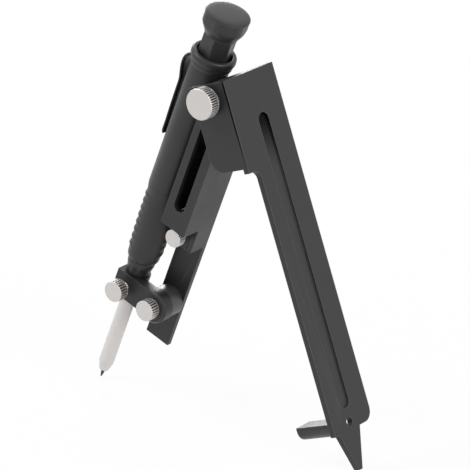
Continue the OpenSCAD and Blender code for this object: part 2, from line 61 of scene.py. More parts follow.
# %% [markdown]
# Where the legs lie
#
# Each leg leans away from upright, and everything on the pencil's leg is easier to write
# in that leg's own directions: X across the leg, Y to the rear and Z up along it. The
# hinge's place is read from the frame, so the pieces follow the construction.

# %% Leg frames
PENCIL_LEG_LEAN = 18.9
GUIDE_LEG_LEAN = 22.6
joint_named = {joint["name"]: joint for joint in frame["joints"]}
fold_place = joint_named["leg_fold"]["pos_m"]
ear_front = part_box("leg_plate")[0].y
hinge = Vector((fold_place[0], ear_front, fold_place[2]))
pencil_leg = (Matrix.Translation(hinge)
              @ Matrix.Rotation(radians(PENCIL_LEG_LEAN), 4, "Y"))

PENCIL_OFF = 12.45
PENCIL_DEEP = 14.8
PENCIL_RISE = 22.9
pencil_axis = pencil_leg @ Matrix.Translation(
    Vector((-PENCIL_OFF, PENCIL_DEEP, PENCIL_RISE)) * MM)
print("hinge in mm:", [round(value / MM, 2) for value in hinge])

# %% [markdown]
# The camera
#
# A product photograph is taken from far away with a long lens, so that parallel edges
# stay nearly parallel. The camera's direction, roll and distance come from matching the
# two legs' edges, and it is built from three directions: right, up and back.

# %% Camera
CAMERA_AZIMUTH = 36.72
CAMERA_ELEVATION = 22.34
CAMERA_ROLL = 2.2
CAMERA_DISTANCE = 1250.8
HINGE_RIGHT_OF_CENTRE = -8.51
HINGE_ABOVE_CENTRE = 44.12
FOCAL_SHARE = 3809.2 / 470
SENSOR_WIDTH = 36.0


def camera_directions():
    azimuth = radians(CAMERA_AZIMUTH)
    elevation = radians(CAMERA_ELEVATION)
    back = Vector((sin(azimuth) * cos(elevation), -cos(azimuth) * cos(elevation),
                   sin(elevation)))
    right = Vector((cos(azimuth), sin(azimuth), 0))
    up = back.cross(right)
    roll = radians(CAMERA_ROLL)
    return (cos(roll) * right + sin(roll) * up, -sin(roll) * right + cos(roll) * up, back)


right, up, back = camera_directions()
camera_place = hinge + MM * (
    CAMERA_DISTANCE * back - HINGE_RIGHT_OF_CENTRE * right - HINGE_ABOVE_CENTRE * up)
camera_data = bpy.data.cameras.new("photo_camera")
camera_data.sensor_width = SENSOR_WIDTH
camera_data.lens = SENSOR_WIDTH * FOCAL_SHARE
camera_data.clip_start = 0.01
camera_data.clip_end = 50
camera = bpy.data.objects.new("photo_camera", camera_data)
scene.collection.objects.link(camera)
turn = Matrix((right, up, back)).transposed().to_4x4()
camera.matrix_world = Matrix.Translation(camera_place) @ turn
scene.camera = camera
print("lens in mm:", round(camera_data.lens, 1))

# %% [markdown]
# Small tools for shader nodes
#
# Most of a procedural material is the same few moves: add a node, set its inputs and link
# it. One helper does all three, so the recipes below read as a list of what is mixed.


# %% Node helpers
def add_node(tree, kind, inputs=None, **settings):
    node = tree.nodes.new(kind)
    for name, value in settings.items():
        setattr(node, name, value)
    for key, value in (inputs or {}).items():
        if isinstance(value, bpy.types.NodeSocket):
            tree.links.new(value, node.inputs[key])
        else:
            node.inputs[key].default_value = value
    return node


def new_group(name, inputs, outputs):
    tree = bpy.data.node_groups.new(name, "ShaderNodeTree")
    for label, kind, value in inputs:
        socket = tree.interface.new_socket(label, in_out="INPUT", socket_type=kind)
        socket.default_value = value
    for label, kind in outputs:
        tree.interface.new_socket(label, in_out="OUTPUT", socket_type=kind)
    entry = tree.nodes.new("NodeGroupInput")
    leave = tree.nodes.new("NodeGroupOutput")
    return tree, entry.outputs, leave.inputs


FLOAT = "NodeSocketFloat"

# %% [markdown]
# Fine grain
#
# No satin surface is even: it has a grain far smaller than a millimetre and slow clouds
# of slightly different sheen. Both come from noise in object coordinates, so their scale
# is real and doesn't slide with the view.


# %% Grain group
def make_grain_group():
    tree, entry, leave = new_group(
        "surface_grain",
        [("Grain Size", FLOAT, 4000.0), ("Cloud Size", FLOAT, 60.0)],
        [("Grain", FLOAT), ("Clouds", FLOAT)])
    place = add_node(tree, "ShaderNodeTexCoord").outputs["Object"]
    fine = add_node(tree, "ShaderNodeTexNoise",
                    {"Vector": place, "Scale": entry["Grain Size"], "Detail": 3.0})
    slow = add_node(tree, "ShaderNodeTexNoise",
                    {"Vector": place, "Scale": entry["Cloud Size"], "Detail": 4.0})
    tree.links.new(fine.outputs["Fac"], leave["Grain"])
    tree.links.new(slow.outputs["Fac"], leave["Clouds"])
    return tree


grain_group = make_grain_group()

# %% [markdown]
# Painted edge highlights
#
# Edges catch the light as faint pale lines, and these highlights are painted: a paler
# colour is mixed in along the edges. The Bevel node gives the normal that a rounded edge
# would have, and where it turns away from the true normal there is an edge. Noise breaks
# the line up.


# %% Edge group
def make_edge_highlight_group():
    tree, entry, leave = new_group(
        "painted_edge_highlight",
        [("Width", FLOAT, 0.0004), ("Strength", FLOAT, 1.0), ("Break Up", FLOAT, 900.0)],
        [("Edge", FLOAT)])
    soft = add_node(tree, "ShaderNodeBevel", {"Radius": entry["Width"]}, samples=6)
    true_normal = add_node(tree, "ShaderNodeNewGeometry").outputs["Normal"]
    same = add_node(tree, "ShaderNodeVectorMath",
                    {0: soft.outputs["Normal"], 1: true_normal}, operation="DOT_PRODUCT")
    away = add_node(tree, "ShaderNodeMapRange",
                    {"Value": same.outputs["Value"], "From Min": 0.995, "From Max": 0.86})
    place = add_node(tree, "ShaderNodeTexCoord").outputs["Object"]
    patch = add_node(tree, "ShaderNodeTexNoise",
                     {"Vector": place, "Scale": entry["Break Up"], "Detail": 2.0})
    broken = add_node(tree, "ShaderNodeMapRange",
                      {"Value": patch.outputs["Fac"], "From Min": 0.35, "From Max": 0.65,
                       "To Min": 0.55, "To Max": 1.0})
    mask = add_node(tree, "ShaderNodeMath", {0: away.outputs["Result"],
                                             1: broken.outputs["Result"]},
                    operation="MULTIPLY")
    scaled = add_node(tree, "ShaderNodeMath", {0: mask.outputs["Value"],
                                               1: entry["Strength"]},
                      operation="MULTIPLY", use_clamp=True)
    tree.links.new(scaled.outputs["Value"], leave["Edge"])
    return tree


edge_highlight_group = make_edge_highlight_group()

# %% [markdown]
# One recipe for satin surfaces
#
# Anodised metal, moulded plastic and nickel differ in numbers more than in kind: a body
# colour, a paler colour painted on the edges as highlight, a roughness that drifts, and a
# small bump. The Principled BSDF stays in the material, and only colours, masks and heights
# reach it.

# %% Satin recipe
CLOUD_SIZE = 60.0
CLOUD_DARKNESS = 0.86
EDGE_STRENGTH = 1.0
ROUGHNESS_DRIFT = 0.08


def satin_material(name, colour, highlight_colour, roughness, metallic=0.0, grain=4000.0,
                   bump=0.1, bump_depth=0.00002, edge_width=0.0004, specular=0.5):
    material = bpy.data.materials.new(name)
    material.use_nodes = True
    tree = material.node_tree
    shader = tree.nodes["Principled BSDF"]
    surface = add_node(tree, "ShaderNodeGroup", node_tree=grain_group)
    surface.inputs["Grain Size"].default_value = grain
    surface.inputs["Cloud Size"].default_value = CLOUD_SIZE
    edge = add_node(tree, "ShaderNodeGroup", node_tree=edge_highlight_group)
    edge.inputs["Width"].default_value = edge_width
    edge.inputs["Strength"].default_value = EDGE_STRENGTH
    darker = [channel * CLOUD_DARKNESS for channel in colour]
    tone = add_node(tree, "ShaderNodeMix",
                    {"Factor": surface.outputs["Clouds"], "A": (*darker, 1),
                     "B": (*colour, 1)}, data_type="RGBA")
    # Painted highlight: the paler colour is mixed in along the edges.
    highlighted = add_node(tree, "ShaderNodeMix",
                    {"Factor": edge.outputs["Edge"], "A": tone.outputs["Result"],
                     "B": (*highlight_colour, 1)}, data_type="RGBA")
    sheen = add_node(tree, "ShaderNodeMapRange",
                     {"Value": surface.outputs["Clouds"], "From Min": 0.3,
                      "From Max": 0.7, "To Min": roughness - ROUGHNESS_DRIFT,
                      "To Max": roughness + ROUGHNESS_DRIFT})
    height = add_node(tree, "ShaderNodeBump",
                      {"Height": surface.outputs["Grain"], "Strength": bump,
                       "Distance": bump_depth})
    tree.links.new(highlighted.outputs["Result"], shader.inputs["Base Color"])
    tree.links.new(sheen.outputs["Result"], shader.inputs["Roughness"])
    tree.links.new(height.outputs["Normal"], shader.inputs["Normal"])
    shader.inputs["Metallic"].default_value = metallic
    shader.inputs["Specular IOR Level"].default_value = specular
    return material


# %% [markdown]
# The finishes
#
# Black anodised aluminium is a dark dye under a hard clear oxide, so it reflects like
# satin plastic, and the arm's spacer is a paler copy of it, painted light for its lit side.
# The knobs are nickel-plated, the nose tube is a pale bead-blasted metal, and the pencil's
# body is fine-textured black plastic with a rubber grip and a darker, smoother clip, whose
# darker colour is painted shade for its inner face in shadow.

# %% Materials
anodised = satin_material("black_anodised", (0.021, 0.021, 0.0215), (0.10, 0.10, 0.102),
                          0.42, bump=0.35, edge_width=0.0004, specular=0.42)
nickel = satin_material("satin_nickel", (0.66, 0.635, 0.615), (0.82, 0.80, 0.78), 0.33,
                        metallic=0.75, grain=2600.0, bump=0.25, edge_width=0.0003)
bright_steel = satin_material("bright_steel", (0.46, 0.455, 0.45), (0.62, 0.61, 0.60),
                              0.3, metallic=0.9, edge_width=0.0002)
nose_metal = satin_material("nose_metal", (0.74, 0.71, 0.695), (0.78, 0.76, 0.75), 0.5,
                            metallic=0.15, grain=3000.0, bump=0.15, edge_width=0.0002)
brass = satin_material("drawn_brass", (0.60, 0.44, 0.19), (0.74, 0.58, 0.30), 0.32,
                       metallic=0.9, edge_width=0.0002)
black_plastic = satin_material("moulded_black", (0.022, 0.022, 0.0225),
                               (0.06, 0.06, 0.062), 0.40, grain=2200.0, bump=0.3,
                               bump_depth=0.00003, edge_width=0.0003, specular=0.45)
grip_rubber = satin_material("grip_rubber", (0.024, 0.024, 0.0245), (0.05, 0.05, 0.05),
                             0.46, grain=1800.0, bump=0.5, bump_depth=0.00004,
                             edge_width=0.0002, specular=0.42)
graphite = satin_material("pencil_lead", (0.045, 0.05, 0.055), (0.10, 0.105, 0.11), 0.36,
                          metallic=0.3, grain=5000.0, bump=0.4, edge_width=0.0001)
# Painted shade: the clip is a darker copy of the black plastic, for its inner face in shadow.
painted_shade_clip = satin_material("painted_shade_clip", (0.007, 0.007, 0.0075),
                            (0.025, 0.025, 0.026), 0.42, grain=2200.0, bump=0.2,
                            edge_width=0.0002, specular=0.3)
# Painted light: the spacer is a paler copy of the black anodising, for its lit side.
painted_light_anodised = satin_material("painted_light_anodised", (0.075, 0.074, 0.072),
                               (0.2, 0.197, 0.193), 0.38, bump=0.3, edge_width=0.0004)
print("materials:", len(bpy.data.materials))

# %% [markdown]
# Painted shade in the knurl's gaps
#
# The bottom of a knurl lies in shade, and that shade is painted. The knobs' meshes carry a
# mask named gap, 1 at the bottom of each groove, and the nickel mixes in a dark colour there
# as painted shade. Meshes without the mask read it as 0 and keep the plain metal.

# %% Gap colour
# Painted shade: the dark colour mixed into the nickel in the knurl's gaps.
GAP_SHADE_COLOUR = (0.05, 0.048, 0.046)


def mix_in(material, mask, colour):
    tree = material.node_tree
    shader = tree.nodes["Principled BSDF"]
    plain = shader.inputs["Base Color"].links[0].from_socket
    mixed = add_node(tree, "ShaderNodeMix", {"Factor": mask, "A": plain, "B": (*colour, 1)},
                     data_type="RGBA")
    tree.links.new(mixed.outputs["Result"], shader.inputs["Base Color"])


gap_shade_mask = add_node(nickel.node_tree, "ShaderNodeAttribute", attribute_name="gap")
mix_in(nickel, gap_shade_mask.outputs["Fac"], GAP_SHADE_COLOUR)
print("gap colour reaches", nickel.name)

# %% [markdown]
# Turning a profile
#
# A lathe makes the barrel, the collar and the nose by turning a profile round an axis,
# and so does this helper. Each row of the profile is a radius and a station measured
# down from the top. A shape function may change the radius with the angle, which gives
# knurls and flats from the same few lines.


# %% Turned meshes
def round_shape(radius, station, angle):
    return radius


def turned_mesh(name, profile, steps=96, shape=round_shape, closed=False):
    maker = bmesh.new()
    rings = []
    for radius, station in profile:
        if radius == 0:
            rings.append([maker.verts.new((0, 0, -station * MM))])
            continue
        ring = []
        for step in range(steps):
            angle = tau * step / steps
            reach = shape(radius, station, angle) * MM
            ring.append(maker.verts.new((reach * cos(angle), reach * sin(angle),
                                         -station * MM)))
        rings.append(ring)
    pairs = list(zip(rings, rings[1:]))
    if closed:
        pairs.append((rings[-1], rings[0]))
    for upper, lower in pairs:
        for step in range(steps):
            after = (step + 1) % steps
            if len(upper) == 1:
                maker.faces.new((upper[0], lower[step], lower[after]))
            elif len(lower) == 1:
                maker.faces.new((upper[after], upper[step], lower[0]))
            else:
                maker.faces.new((upper[after], upper[step], lower[step], lower[after]))
    bmesh.ops.recalc_face_normals(maker, faces=maker.faces)
    mesh = bpy.data.meshes.new(name)
    maker.to_mesh(mesh)
    maker.free()
    return mesh


# %% Placing
SHARP_ANGLE = 32


def place_piece(name, mesh, matrix, material, body, nodes, sharp=SHARP_ANGLE):
    mesh.transform(matrix)
    mesh.shade_smooth()
    mesh.set_sharp_from_angle(angle=radians(sharp))
    mesh.materials.clear()
    mesh.materials.append(material)
    piece = bpy.data.objects.new(name, mesh)
    scene.collection.objects.link(piece)
    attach(piece, body)
    if nodes:
        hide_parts(*nodes)
    print(name, "has", len(mesh.polygons), "faces")
    return piece


# %% [markdown]
# Painted shade at the groove's end
#
# The groove's upper end lies in shade, and that shade is painted: the floor is painted
# darkest at the upper end and fades into the plate's own tone. Two distances from the
# hinge make the mask: one across the plate, which picks the groove's floor, and one down
# the leg, which fades. A metal of a near-black colour reflects almost nothing, so the mask
# drives Metallic as well, and the painted shade also takes away the floor's reflection.

# %% Groove shade
GROOVE_FLOOR = 7.6 * MM
GROOVE_BAND = 0.3 * MM
GROOVE_START = 9 * MM
GROOVE_FADE = 21 * MM
# Painted shade: a near-black colour for the shade at the groove's upper end.
GROOVE_SHADE_COLOUR = (0.002, 0.002, 0.002)


def distance_along(tree, place, direction):
    offset = add_node(tree, "ShaderNodeVectorMath", {0: place, 1: tuple(hinge)},
                      operation="SUBTRACT")
    along = add_node(tree, "ShaderNodeVectorMath",
                     {0: offset.outputs["Vector"], 1: direction}, operation="DOT_PRODUCT")
    return along.outputs["Value"]


def groove_shade_mask(tree):
    tilt = radians(GUIDE_LEG_LEAN)
    place = add_node(tree, "ShaderNodeTexCoord").outputs["Object"]
    across = distance_along(tree, place, (cos(tilt), 0, sin(tilt)))
    down = distance_along(tree, place, (sin(tilt), 0, -cos(tilt)))
    on_floor = add_node(tree, "ShaderNodeMath", {0: across, 1: GROOVE_FLOOR, 2: GROOVE_BAND},
                        operation="COMPARE")
    fade = add_node(tree, "ShaderNodeMapRange",
                    {"Value": down, "From Min": GROOVE_START,
                     "From Max": GROOVE_START + GROOVE_FADE, "To Min": 1.0, "To Max": 0.0},
                    interpolation_type="SMOOTHSTEP")
    mask = add_node(tree, "ShaderNodeMath",
                    {0: on_floor.outputs["Value"], 1: fade.outputs["Result"]},
                    operation="MULTIPLY")
    return mask.outputs["Value"]


def groove_shade_finish():
    material = anodised.copy()
    material.name = "groove_shaded_anodised"
    tree = material.node_tree
    mask = groove_shade_mask(tree)
    mix_in(material, mask, GROOVE_SHADE_COLOUR)
    tree.links.new(mask, tree.nodes["Principled BSDF"].inputs["Metallic"])
    return material


guide_shaded_finish = groove_shade_finish()
print("finish of the guide leg:", guide_shaded_finish.name)

# %% [markdown]
# Flat metal
#
# The legs, the clamp and the block are milled from plate, and their solids are already
# right. Each is copied, its triangles are merged back into flat faces, and a small bevel
# breaks the edges, because a real milled edge is never perfectly sharp.

# %% Plate pieces
WELD_REACH = 0.002
FLAT_ANGLE = 0.6
BEVEL_FROM_ANGLE = 38
PLATE_SHARP_ANGLE = 30


def milled_copy(node, name, material, body, bevel):
    maker = bmesh.new()
    maker.from_mesh(frame["nodes"][node].data)
    bmesh.ops.remove_doubles(maker, verts=maker.verts, dist=WELD_REACH * MM)
    bmesh.ops.dissolve_limit(maker, angle_limit=radians(FLAT_ANGLE), verts=maker.verts,
                             edges=maker.edges)
    mesh = bpy.data.meshes.new(name)
    maker.to_mesh(mesh)
    maker.free()
    piece = place_piece(name, mesh, Matrix.Identity(4), material, body, [node],
                        PLATE_SHARP_ANGLE)
    edge = piece.modifiers.new("broken_edges", "BEVEL")
    edge.width = bevel * MM
    edge.segments = 2
    edge.limit_method = "ANGLE"
    edge.angle_limit = radians(BEVEL_FROM_ANGLE)
    edge.harden_normals = True
    return piece


milled_copy("leg_plate", "guide_plate", guide_shaded_finish, "guide_leg", 0.22)
milled_copy("channel", "channel_body", anodised, "channel_leg", 0.2)
milled_copy("clamp_arm", "clamp_body", anodised, "arm", 0.22)
milled_copy("lock_block", "stop_block", anodised, "lock_slider", 0.2)
milled_copy("standoff", "arm_spacer", painted_light_anodised, "channel_leg", 0.12)

# %% [markdown]
# Small steel pieces
#
# The nut, the washer, the stud, the screws and the pencil's inner pieces are hidden, or
# only their edges show. Their solids stay as they are, with a bevel and a metal finish.
# The spring's round wire needs no bevel, so its modifier goes again.

# %% Steel pieces
milled_copy("slide_nut", "hinge_nut", bright_steel, "pivot_slider", 0.15)
milled_copy("pivot_washer", "hinge_washer", bright_steel, "pivot_slider", 0.12)
milled_copy("pivot_stud", "hinge_stud", bright_steel, "pivot_slider", 0.12)
milled_copy("arm_screw", "arm_bolt", bright_steel, "channel_leg", 0.15)
milled_copy("sharpener_blade", "blade", bright_steel, "button", 0.04)
milled_copy("blade_screw", "blade_bolt", bright_steel, "button", 0.04)
milled_copy("clutch_ring", "jaw_ring", bright_steel, "pencil", 0.03)
milled_copy("clutch_jaws", "jaws", brass, "button", 0.03)
milled_copy("lead_tube", "magazine", brass, "button", 0.05)
spring_copy = milled_copy("button_spring", "spring", bright_steel, "pencil", 0.01)
spring_copy.modifiers.clear()

# %% [markdown]
# Knurled knobs
#
# Straight knurling is rolled into the rim: rounded ribs with a dark gap between them,
# fading out on the bevel to the smooth face. The ribs are a wave in the turned radius,
# flat on top and narrow in the gaps. The hinge knob also has a plain turned neck behind.

# %% Knob profile
FACE_RINGS = 5


def knob_profile(radius, length, bevel, turned):
    neck_radius, neck_length = turned
    rows = [(0, 0)]
    rows += [((radius - bevel) * share / FACE_RINGS, 0)
             for share in range(1, FACE_RINGS)]
    rows += [(radius - bevel * 1.1, 0), (radius - bevel * 0.45, bevel * 0.14),
             (radius - bevel * 0.12, bevel * 0.5), (radius, bevel), (radius, bevel * 1.5)]
    rows += [(radius, length * share) for share in (0.35, 0.6, 0.85)]
    rows += [(radius, length - bevel), (radius - bevel * 0.35, length - bevel * 0.25),
             (radius - bevel, length)]
    if neck_length:
        rows += [(neck_radius, length), (neck_radius, length + neck_length)]
    return rows + [(0, length + neck_length)]


GAP_NARROWNESS = 1.6


def knurl(radius, ribs, depth, bevel, length):
    def shape(reach, station, angle):
        wave = 0.5 + 0.5 * cos(angle * ribs)
        gap = (1 - wave) ** GAP_NARROWNESS
        fade = min(1.0, max(0.0, (station - bevel * 0.3) / bevel))
        fade *= 1.0 if reach > radius - bevel else 0.0
        fade *= min(1.0, max(0.0, (length - station) / bevel))
        return reach - depth * gap * fade

    return shape


# %% [markdown]
# The mask in the gaps
#
# The mesh knows where its gaps are, so it carries the painted-shade mask that the nickel
# reads. Its vertices come row by row, with the face's centre first, and a vertex's number
# gives its row in the profile and its step round the rim.

# %% Gap mask
STEPS_PER_RIB = 10
FIRST_RIM_ROW = 8
LAST_RIM_ROW = 13
GAP_SPREAD = 0.1


def mark_gap_shade(mesh, ribs):
    mask = mesh.attributes.new("gap", "FLOAT", "POINT")
    for vertex in mesh.vertices:
        row, step = divmod(vertex.index - 1, ribs * STEPS_PER_RIB)
        wave = cos(tau * step / STEPS_PER_RIB)
        on_rim = FIRST_RIM_ROW <= row + 1 <= LAST_RIM_ROW
        depth = min(1.0, max(0.0, GAP_SPREAD - wave))
        mask.data[vertex.index].value = depth if on_rim else 0.0


# %% [markdown]
# Four knobs
#
# The knobs face the front of the pencil's leg. Each is given by its face's centre, its
# diameter, its length and its number of ribs, in millimetres and in the leg's directions.

# %% Knobs
ARM_LEN = 90.6
ARM_OFF = 0.3
LOCK_LEN = 59.9
PENCIL_KNOB_LEN = 90.2
KNOB_SHARP_ANGLE = 40


def facing_front(place):
    face_to_front = Matrix.Rotation(radians(90), 4, "X")
    return pencil_leg @ Matrix.Translation(Vector(place) * MM) @ face_to_front


def knob(name, node, body, place, diameter, length, ribs, depth=0.55, bevel=0.35,
         turned=(0, 0)):
    radius = diameter / 2
    mesh = turned_mesh(name, knob_profile(radius, length, bevel, turned),
                       steps=ribs * STEPS_PER_RIB,
                       shape=knurl(radius, ribs, depth, bevel, length))
    mark_gap_shade(mesh, ribs)
    return place_piece(name, mesh, facing_front(place), nickel, body, [node],
                       KNOB_SHARP_ANGLE)


knob("hinge_knob_head", "pivot_knob", "hinge_knob", (0, -5.55, 0), 10.9, 4.35, 40,
     depth=0.6, bevel=0.5, turned=(4.2, 1.15))
knob("arm_knob_head", "arm_knob", "arm_nut", (ARM_OFF, 5.65, -ARM_LEN), 7.5, 4, 24)
knob("pencil_knob_head", "pencil_knob", "pencil_screw",
     (-PENCIL_OFF, 3.2, -PENCIL_KNOB_LEN), 7.5, 4, 24)
knob("lock_knob_head", "lock_knob", "lock_screw", (ARM_OFF, 7.5, -LOCK_LEN), 6.4, 3, 24,
     depth=0.45, bevel=0.3)

# %% [markdown]
# Screw shanks
#
# Two of the knobs are screws, and a short length of their shank shows behind the head. A
# screw thread is a helix, but at this size close rings read the same, so the shank is one
# turned profile with a ridge for each turn.

# %% Shanks
THREAD_RADIUS = 1.45
THREAD_PITCH = 0.5
THREAD_DEPTH = 0.22
ROOT_FLAT = 0.04
END_DEPTH = 0.25
THREAD_SHARP_ANGLE = 50


def threaded_shank(name, body, place, length):
    rows = [(0, 0), (THREAD_RADIUS - END_DEPTH, 0)]
    for turn_number in range(int(length / THREAD_PITCH)):
        start = turn_number * THREAD_PITCH
        rows += [(THREAD_RADIUS - THREAD_DEPTH, start + ROOT_FLAT),
                 (THREAD_RADIUS, start + THREAD_PITCH / 2)]
    rows += [(THREAD_RADIUS - END_DEPTH, length), (0, length)]
    mesh = turned_mesh(name, rows, steps=40)
    return place_piece(name, mesh, facing_front(place), nickel, body, [],
                       THREAD_SHARP_ANGLE)


threaded_shank("pencil_knob_shank", "pencil_screw", (-PENCIL_OFF, 7.1, -PENCIL_KNOB_LEN), 4.9)
threaded_shank("lock_knob_shank", "lock_screw", (ARM_OFF, 10.4, -LOCK_LEN), 7.5)

# %% [markdown]
# The push button
#
# The button is one moulding: a round, slightly domed top on a six-sided body that draws in
# to a six-sided stem. The radius at each angle is the smaller of the circle and the
# hexagon, and a soft minimum rounds the corners as a mould does.

# %% Button
HEX_TURN = 46
STEM_RADIUS = 5.87
CAP_FLAT_RADIUS = 8.35
DOME_END = 0.95
STEM_START = 8.75
CORNER_BLEND = 0.2


def hexagon_reach(corner_radius, angle):
    sector = radians(60)
    inside = (angle - radians(HEX_TURN)) % sector - sector / 2
    return corner_radius * cos(sector / 2) / cos(inside)


def soft_min(first, second, blend):
    spare = max(blend - abs(first - second), 0) / blend
    return min(first, second) - spare * spare * blend / 4


def button_shape(radius, station, angle):
    if station < DOME_END:
        return radius
    corner_radius = STEM_RADIUS if station > STEM_START else CAP_FLAT_RADIUS
    return soft_min(radius, hexagon_reach(corner_radius, angle), CORNER_BLEND)


button_profile = [(0, 0), (3.0, 0.02), (5.2, 0.07), (6.5, 0.15), (7.2, 0.25), (7.55, 0.38),
                  (7.73, 0.55), (7.8, 0.8), (7.8, 0.94), (7.8, 1.15), (7.8, 1.8), (7.8, 2.6),
                  (7.8, 3.6), (7.8, 4.4), (7.68, 4.8), (7.3, 5.6), (6.75, 6.6), (6.2, 7.6),
                  (5.8, 8.3), (5.8, 8.7), (STEM_RADIUS, 8.8), (STEM_RADIUS, 9.2),
                  (STEM_RADIUS, 12), (STEM_RADIUS, 18), (STEM_RADIUS, 22.3), (5.2, 22.4),
                  (0, 22.4)]
button_mesh = turned_mesh("button_head", button_profile, steps=180, shape=button_shape)
place_piece("button_head", button_mesh, pencil_axis, black_plastic, "button",
            ["push_button"], sharp=24)

# %% [markdown]
# Collar, barrel, neck and nose
#
# These are plain turnings, so each is one closed profile: down the outside and back up the
# bore. A short arc at each corner gives the small radius that moulded and turned edges
# have, and it is what draws the fine highlight lines in a photograph.

# %% Rounded corners
LONGEST_REACH = 0.45


def rounded(points, radius, steps=4):
    result = [points[0]]
    for before, corner, after in zip(points, points[1:], points[2:]):
        here = Vector(corner)
        to_before = Vector(before) - here
        to_after = Vector(after) - here
        reach = min(radius, to_before.length * LONGEST_REACH,
                    to_after.length * LONGEST_REACH)
        start = here + to_before.normalized() * reach
        end = here + to_after.normalized() * reach
        for step in range(steps + 1):
            share = step / steps
            bend = (start * (1 - share) ** 2 + here * 2 * share * (1 - share)
                    + end * share ** 2)
            result.append((bend.x, bend.y))
    result.append(points[-1])
    return result


# %% [markdown]
# Four sleeves
#
# The collar flares at the pencil's top, the neck draws in under the grip, and the long
# nose tube ends in a short cone. Each row is a radius and a station in millimetres. The
# profile starts and ends halfway down the bore, where no corner is rounded.

# %% Sleeves
SEAM_GAP = 0.01


def sleeve(name, outside, bore_radius, material, node, corner, steps=96):
    top = outside[0][1]
    foot = outside[-1][1]
    points = [(bore_radius, (top + foot) / 2), (bore_radius, top), *outside,
              (bore_radius, foot), (bore_radius, (top + foot) / 2 + SEAM_GAP)]
    mesh = turned_mesh(name, rounded(points, corner), steps=steps, closed=True)
    return place_piece(name, mesh, pencil_axis, material, "pencil", [node])


sleeve("collar", [(7.45, 15.8), (7.8, 16.4), (7.9, 17.4), (7.85, 18.0), (7.5, 18.5),
                  (7.4, 18.8), (7.35, 20.0), (6.95, 21.0)],
       6.22, black_plastic, "end_ring", 0.3)
sleeve("neck_piece", [(4.7, 102.35), (4.85, 102.8), (4.85, 104.0), (4.4, 105.9),
                      (4.2, 108.1)],
       2.68, black_plastic, "neck", 0.3)
sleeve("nose_sleeve", [(2.65, 100.0), (2.65, 148.1), (2.55, 148.5)],
       2.3, nose_metal, "nose_tube", 0.12, 64)
sleeve("nose_cone", [(2.42, 148.5), (2.35, 148.9), (2.1, 150.2), (1.8, 151.3),
                     (1.7, 151.5)],
       1.46, nose_metal, "nose_tip", 0.12, 64)

# %% [markdown]
# A six-sided mouth
#
# The barrel is round outside, but its mouth is six-sided, so that the button slides in it
# without turning. The same shape function as the button's cuts the flats into the rows of
# the bore, and leaves the outside alone.

# %% Barrel
MOUTH_RADIUS = 5.97
barrel_rows = [(MOUTH_RADIUS, 27.0), (MOUTH_RADIUS, 24.0), (MOUTH_RADIUS, 21.3),
               (MOUTH_RADIUS + 0.2, 21.05), (6.7, 21.0), (6.75, 21.3), (6.75, 46.0),
               (6.75, 70.9), (6.74, 70.99), (6.6, 71.0), (MOUTH_RADIUS, 71.0),
               (MOUTH_RADIUS, 46.0)]


def barrel_shape(radius, station, angle):
    if radius > MOUTH_RADIUS + 0.3:
        return radius
    return min(radius, hexagon_reach(radius, angle))


barrel_mesh = turned_mesh("barrel_shell", barrel_rows, steps=144, shape=barrel_shape,
                          closed=True)
place_piece("barrel_shell", barrel_mesh, pencil_axis, black_plastic, "pencil",
            ["barrel"], sharp=24)

# %% [markdown]
# The lead
#
# A sharpened lead shows a cone with fine turning marks from the sharpener and a slightly
# blunted point. The cone's rows step in and out by a few hundredths of a millimetre.

# %% Lead
LEAD_TOP = 60
SHARPEN_START = 149
LEAD_END = 155
POINT_RADIUS = 0.25
LEAD_RADIUS = 1.4
TURNING_MARKS = 24
MARK_DEPTH = 0.018


def lead_profile():
    rows = [(0, LEAD_TOP), (LEAD_RADIUS - 0.1, LEAD_TOP), (LEAD_RADIUS, LEAD_TOP + 0.1),
            (LEAD_RADIUS, SHARPEN_START)]
    for mark in range(1, TURNING_MARKS):
        share = mark / TURNING_MARKS
        radius = LEAD_RADIUS + (POINT_RADIUS - LEAD_RADIUS) * share
        ripple = MARK_DEPTH if mark % 2 else 0.0
        rows.append((radius - ripple, SHARPEN_START + (LEAD_END - SHARPEN_START) * share))
    return rows + [(POINT_RADIUS, LEAD_END - 0.08), (POINT_RADIUS * 0.6, LEAD_END),
                   (0, LEAD_END)]


place_piece("lead_stick_mesh", turned_mesh("lead_stick_mesh", lead_profile(), steps=48),
            pencil_axis, graphite, "lead_stick", ["lead"])

# %% [markdown]
# The rubber grip
#
# The grip is a smooth sleeve, a little slimmer than the barrel, that ends in a rounded
# foot. A few points give its outline, a smooth curve runs through them, and close rows
# along the curve leave room for the ridges of the next step.

# %% Grip
GRIP_BORE = 4.85
GRIP_TOP = 71.05
GRIP_END = 102.3
GRIP_ROW_STEP = 0.3
grip_line = [(6.74, GRIP_TOP), (6.71, 71.6), (6.5, 73.2), (6.34, 74.6), (6.28, 76.5),
             (6.27, 80.0), (6.22, 85.0), (6.1, 90.0), (5.94, 95.0), (5.88, 98.5),
             (5.78, 100.2), (5.55, 101.3), (5.2, 102.0), (4.95, GRIP_END)]


def smooth_line(points, steps=5):
    result = []
    for index in range(len(points) - 1):
        a = Vector(points[max(index - 1, 0)])
        b = Vector(points[index])
        c = Vector(points[index + 1])
        d = Vector(points[min(index + 2, len(points) - 1)])
        for step in range(steps):
            t = step / steps
            result.append(0.5 * (2 * b + (c - a) * t + (2 * a - 5 * b + 4 * c - d) * t * t
                                 + (3 * b - 3 * c + d - a) * t ** 3))
    return result + [Vector(points[-1])]


def fine_rows(line, step):
    rows = []
    for (r0, s0), (r1, s1) in zip(line, line[1:]):
        count = max(1, round((s1 - s0) / step))
        rows += [(r0 + (r1 - r0) * k / count, s0 + (s1 - s0) * k / count)
                 for k in range(count)]
    return rows + [line[-1]]


